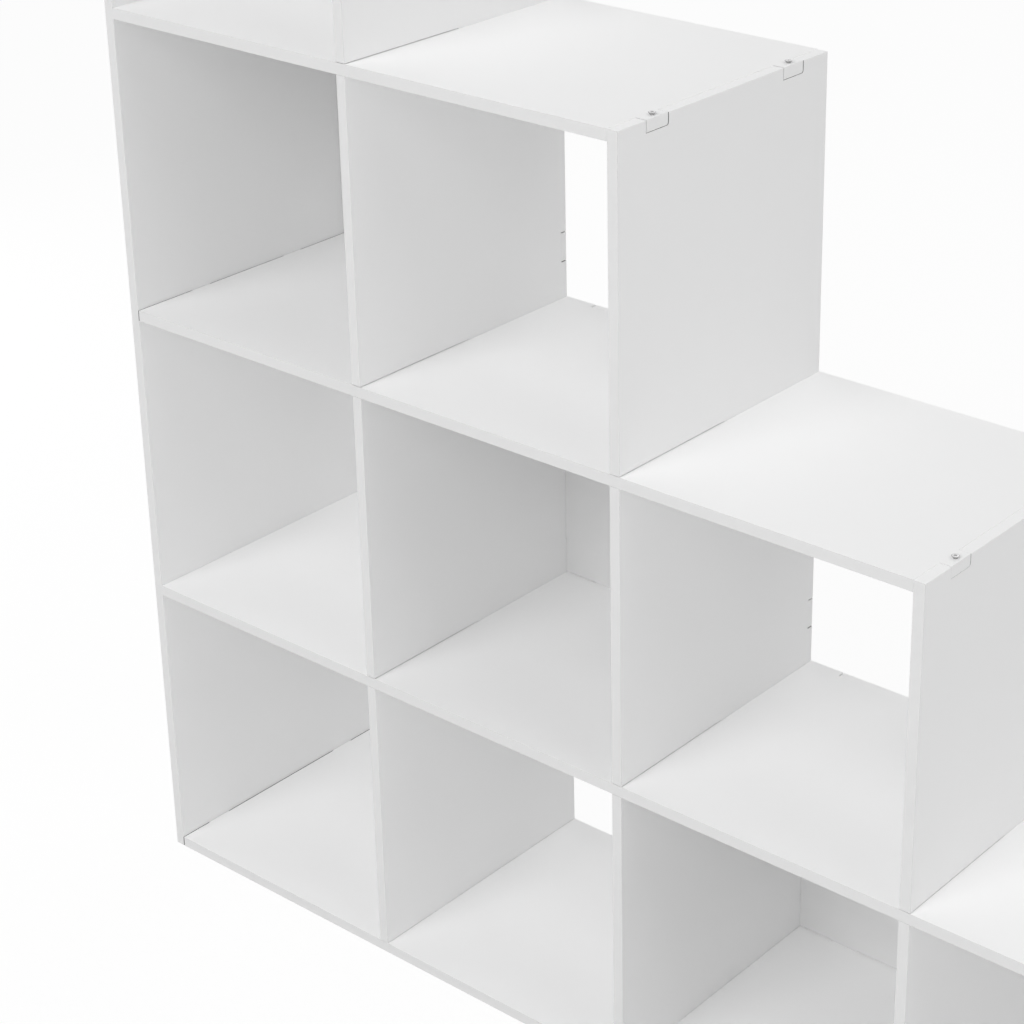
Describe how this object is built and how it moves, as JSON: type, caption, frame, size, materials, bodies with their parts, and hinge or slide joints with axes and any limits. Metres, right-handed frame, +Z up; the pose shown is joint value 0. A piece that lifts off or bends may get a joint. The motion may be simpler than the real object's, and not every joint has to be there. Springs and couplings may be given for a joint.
{
  "type": "stair-step cube bookcase",
  "caption": "White open cube bookcase with a stepped top that falls to one side, built from thin boards that slot and tab into each other, with back panels along its diagonal.",
  "frame": {"origin": "on the floor, under the middle of the bounding box", "axes": "+Z up, -Y towards the front, +X to the right seen from the front, the way the steps fall"},
  "size_m": [1.356, 0.321, 1.3582],
  "materials": {
    "white_lacquered_fibreboard": "white lacquered fibreboard, satin",
    "zinc_plated_steel": "zinc plated"
  },
  "bodies": {
    "root": {"left_side": "white_lacquered_fibreboard", "divider_1": "white_lacquered_fibreboard", "divider_2": "white_lacquered_fibreboard", "divider_3": "white_lacquered_fibreboard", "right_side": "white_lacquered_fibreboard", "bottom_board": "white_lacquered_fibreboard", "shelf_1": "white_lacquered_fibreboard", "shelf_2": "white_lacquered_fibreboard", "shelf_3": "white_lacquered_fibreboard", "top_board": "white_lacquered_fibreboard", "back_panel_1": "white_lacquered_fibreboard", "back_panel_2": "white_lacquered_fibreboard", "back_panel_3": "white_lacquered_fibreboard", "screw_shelf_1_right_front": "zinc_plated_steel", "screw_shelf_1_right_back": "zinc_plated_steel", "screw_shelf_2_right_front": "zinc_plated_steel", "screw_shelf_2_right_back": "zinc_plated_steel", "screw_shelf_3_right_front": "zinc_plated_steel", "screw_shelf_3_right_back": "zinc_plated_steel", "screw_top_board_right_front": "zinc_plated_steel", "screw_top_board_right_back": "zinc_plated_steel", "screw_top_board_left_front": "zinc_plated_steel", "screw_top_board_left_back": "zinc_plated_steel", "screw_bottom_board_left_front": "zinc_plated_steel", "screw_bottom_board_left_back": "zinc_plated_steel", "screw_bottom_board_right_front": "zinc_plated_steel", "screw_bottom_board_right_back": "zinc_plated_steel"}
  },
  "joints": []
}
